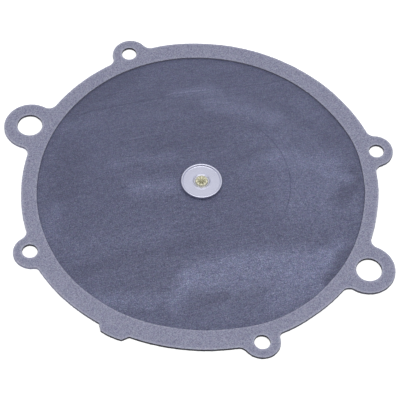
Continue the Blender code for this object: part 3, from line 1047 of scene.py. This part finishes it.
class DIAPHRAGM_OT_press_plate(Operator):
    """Press the backing plate that lies under the membrane"""

    bl_idname = "diaphragm.press_plate"
    bl_label = "Press Backing Plate"

    def execute(self, context):
        settings = context.scene.diaphragm_hub
        low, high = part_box("backing_plate")
        underside = high.z - PLATE_THICKNESS
        outer = 1.4 * MM
        inner = outer - PLATE_THICKNESS
        middle = PLATE_RADIUS - outer
        chamfer = 0.1 * MM
        rim = PLATE_RADIUS - PLATE_THICKNESS
        profile = [(HUB_HOLE_RADIUS, underside)]
        profile += bend(middle, underside - inner, inner, 90.0, 0.0)
        profile += [(rim, low.z + chamfer), (rim + chamfer, low.z)]
        profile += [(PLATE_RADIUS - chamfer, low.z), (PLATE_RADIUS, low.z + chamfer)]
        profile += bend(middle, HUB_UNDERSIDE - outer, outer, 0.0, 90.0)
        profile += [(HUB_HOLE_RADIUS, HUB_UNDERSIDE)]
        bm = turned_piece(profile, settings.segments)
        finish = plated_finish(
            "plain pressed plate", settings.plate_colour, roughness=0.34, pitch=0.25 * MM
        )
        dress("backing_plate_pressed", bm, "backing_plate", finish)
        return {"FINISHED"}


class DIAPHRAGM_OT_press_washer(Operator):
    """Press the bright cup washer that lies on the membrane"""

    bl_idname = "diaphragm.press_washer"
    bl_label = "Press Cup Washer"

    def execute(self, context):
        settings = context.scene.diaphragm_hub
        low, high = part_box("cup_washer")
        edge = high.x
        floor = low.z + WASHER_THICKNESS
        outer = 0.45 * MM
        lifted = 0.1 * MM
        half = 0.3 * MM
        fillet = 0.33 * MM
        inside = edge - 2.0 * half - fillet
        crisp = 0.04 * MM
        profile = [(HUB_HOLE_RADIUS, HUB_TOP), (edge - 1.6 * outer, HUB_TOP)]
        profile += bend(edge - outer, HUB_TOP + outer + lifted, outer, -90.0, 0.0)
        profile += bend(edge - half, high.z - half, half, 0.0, 180.0, count=16)
        profile += bend(inside, floor + fillet, fillet, 0.0, -90.0)
        bead = 0.325 * MM
        bead_radius = 2.725 * MM
        bead_height = 0.22 * MM
        bead_steps = 16
        profile += [(inside - crisp, floor), (bead_radius + bead + crisp, floor)]
        for i in range(bead_steps + 1):
            share = 1.0 - 2.0 * i / bead_steps
            swell = bead_height * (0.5 + 0.5 * cos(pi * share))
            profile.append((bead_radius + share * bead, floor + swell))
        profile += [(bead_radius - bead - crisp, floor), (HUB_HOLE_RADIUS, floor)]
        bm = turned_piece(profile, settings.segments)
        finish = plated_finish(
            "bright plated washer", settings.washer_colour, roughness=0.30, pitch=0.10 * MM
        )
        dress("cup_washer_bright", bm, "cup_washer", finish)
        return {"FINISHED"}


class DIAPHRAGM_OT_set_rivet(Operator):
    """Set the brass rivet through the hub, with its star end up"""

    bl_idname = "diaphragm.set_rivet"
    bl_label = "Set Hub Rivet"

    def execute(self, context):
        settings = context.scene.diaphragm_hub
        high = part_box("hub_rivet")[1]
        shank = 1.55 * MM
        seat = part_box("cup_washer")[0].z + WASHER_THICKNESS
        plate_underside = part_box("backing_plate")[1].z - PLATE_THICKNESS
        foot, foot_top = 3.0 * MM, 0.8 * MM
        neck, neck_top = 1.7 * MM, 1.35 * MM
        shoulder = 3.6 * MM
        soft = 0.15 * MM
        profile = [(0.0, 0.0), (1.0 * MM, 0.0), (foot - 2.0 * soft, 0.0)]
        corners = (
            (foot - soft, soft, -90.0, 0.0),
            (foot - soft, foot_top - soft, 0.0, 90.0),
            (neck + soft, foot_top + soft, -90.0, -180.0),
            (neck + soft, neck_top - soft, 180.0, 90.0),
            (shoulder - soft, neck_top + soft, -90.0, 0.0),
            (shoulder - soft, plate_underside - soft, 0.0, 90.0),
        )
        for radius, height, start, end in corners:
            profile += bend(radius, height, soft, start, end, count=4)
        profile += [(shank, plate_underside), (shank, seat)]
        reach, crest, depth = 2.15 * MM, 1.5 * MM, 0.78 * MM
        rise = high.z - seat
        crown_steps, mouth_steps = 12, 16
        for i in range(crown_steps + 1):
            turn = pi / 2.0 * i / crown_steps
            profile.append((crest + (reach - crest) * cos(turn), seat + rise * sin(turn) ** 0.8))
        lip = 0.12
        for i in range(1, mouth_steps + 1):
            share = i / mouth_steps
            sunk = share - lip * (1.0 - exp(-share / lip))
            profile.append((crest * (1.0 - share), high.z - depth * sunk))
        bm = turned_piece(profile, settings.segments)
        self.part_petals(bm, settings, seat, crest, reach)
        finish = plated_finish("pale brass", settings.brass_colour, roughness=0.42, pitch=0.2 * MM)
        dress("hub_rivet_star", bm, "hub_rivet", finish, sharp=70.0)
        return {"FINISHED"}

    def part_petals(self, bm, settings, seat, crest, reach):
        """Presses the grooves between the petals of the star-set end."""
        for corner in bm.verts:
            radius = corner.co.xy.length
            mouth = radius < crest and corner.co.z > seat - MOUTH_DEPTH
            if corner.co.z < seat + WELD and not mouth:
                continue
            groove = exp(-(cos(settings.petals * bearing(corner.co) / 2.0) / 0.6) ** 2)
            if mouth:
                corner.co.z -= settings.groove * groove * smooth(radius, 0.0, 0.4 * crest)
            else:
                out = (radius - crest) / (reach - crest)
                corner.co.xy *= 1.0 - 0.3 * settings.groove * groove * out / radius
                corner.co.z -= settings.groove * groove * (1.0 - smooth(out))


class DIAPHRAGM_OT_set_stage(Operator):
    """Set the floor, the light and the camera"""

    bl_idname = "diaphragm.set_stage"
    bl_label = "Set Stage"

    def execute(self, context):
        settings = context.scene.diaphragm_studio
        self.lay_floor(settings)
        self.light_tent(context, settings)
        self.hang_key(settings)
        self.place_camera(context, settings)
        context.scene.view_settings.view_transform = "Standard"
        return {"FINISHED"}

    def lay_floor(self, settings):
        """A plain pale floor."""
        bm = bmesh.new()
        bmesh.ops.create_grid(bm, x_segments=1, y_segments=1, size=settings.floor_size / 2.0)
        colour = opaque(settings.floor_colour)
        finish = new_finish("pale floor")
        finish.surface(Base_Color=colour, Roughness=0.9, Specular_IOR_Level=0.1)
        finish.surface(Emission_Color=colour, Emission_Strength=settings.floor_glow)
        floor = new_piece("floor", bm, finish)
        floor.location.z = -FLOOR_CLEARANCE

    def light_tent(self, context, settings):
        """White light from all round, less of it from the front."""
        world = bpy.data.worlds.new("light tent")
        context.scene.world = world
        tent = Finish(world, "Background")
        depth = tent.part_of(tent.add("ShaderNodeTexCoord", output="Generated"), "Y")
        full = settings.tent_strength
        strength = depth.eased(-0.85, -0.25, full * settings.front_shade, full)
        tent.surface(Color=tent.shade(settings.tent_colour, strength), Strength=1.0)

    def hang_key(self, settings):
        """A softbox overhead, a little in front and to the right."""
        lamp = bpy.data.lights.new("softbox", "AREA")
        lamp.shape = "SQUARE"
        lamp.size = settings.key_size
        lamp.energy = settings.key_strength
        box = new_object("softbox", lamp)
        box.location = settings.key_place
        box.rotation_euler = (-box.location).to_track_quat("-Z", "Y").to_euler()

    def place_camera(self, context, settings):
        """The camera at the photograph's angle, looking a little in front of the hub."""
        aim = Matrix.Translation((-0.21 * MM, -4.8 * MM, GASKET_TOP))
        tilt = Matrix.Rotation(pi / 2.0 - settings.elevation, 4, "X")
        roll = Matrix.Rotation(settings.roll, 4, "Z")
        back = Matrix.Translation((0.0, 0.0, settings.distance))
        lens = bpy.data.cameras.new("camera")
        lens.lens = settings.lens
        lens.sensor_width = 36.0
        lens.clip_start = 0.01
        camera = new_object("camera", lens)
        camera.matrix_world = aim @ tilt @ roll @ back
        context.scene.camera = camera


class DIAPHRAGM_PT_dresser(Panel):
    """Settings and steps for the diaphragm"""

    bl_idname = "DIAPHRAGM_PT_dresser"
    bl_label = "Diaphragm Dresser"
    bl_space_type = "VIEW_3D"
    bl_region_type = "UI"
    bl_category = "Diaphragm"

    def draw(self, context):
        for holder, (settings, operators) in GROUPS.items():
            box = self.layout.box()
            for name in settings.__annotations__:
                box.prop(getattr(context.scene, holder), name)
            for operator in operators:
                box.operator(operator.bl_idname)


# Each group of settings, by the scene's name for it, with the steps that use it
GROUPS = {
    "diaphragm_membrane": (MembraneSettings, [DIAPHRAGM_OT_lay_membrane]),
    "diaphragm_gasket": (GasketSettings, [DIAPHRAGM_OT_lay_gasket]),
    "diaphragm_hub": (
        HubSettings,
        [DIAPHRAGM_OT_press_plate, DIAPHRAGM_OT_press_washer, DIAPHRAGM_OT_set_rivet],
    ),
    "diaphragm_studio": (StudioSettings, [DIAPHRAGM_OT_set_stage]),
}

CLASSES = [each for settings, operators in GROUPS.values() for each in (settings, *operators)]
CLASSES.append(DIAPHRAGM_PT_dresser)


def register():
    for each in CLASSES:
        bpy.utils.register_class(each)
    for holder, (settings, _operators) in GROUPS.items():
        setattr(bpy.types.Scene, holder, PointerProperty(type=settings))


def unregister():
    for holder in GROUPS:
        delattr(bpy.types.Scene, holder)
    for each in reversed(CLASSES):
        bpy.utils.unregister_class(each)


def main():
    register()
    bpy.ops.diaphragm.lay_membrane()
    bpy.ops.diaphragm.lay_gasket()
    bpy.ops.diaphragm.press_plate()
    bpy.ops.diaphragm.press_washer()
    bpy.ops.diaphragm.set_rivet()
    bpy.ops.diaphragm.set_stage()
    bpy.context.view_layer.update()


if __name__ == "__main__":
    main()
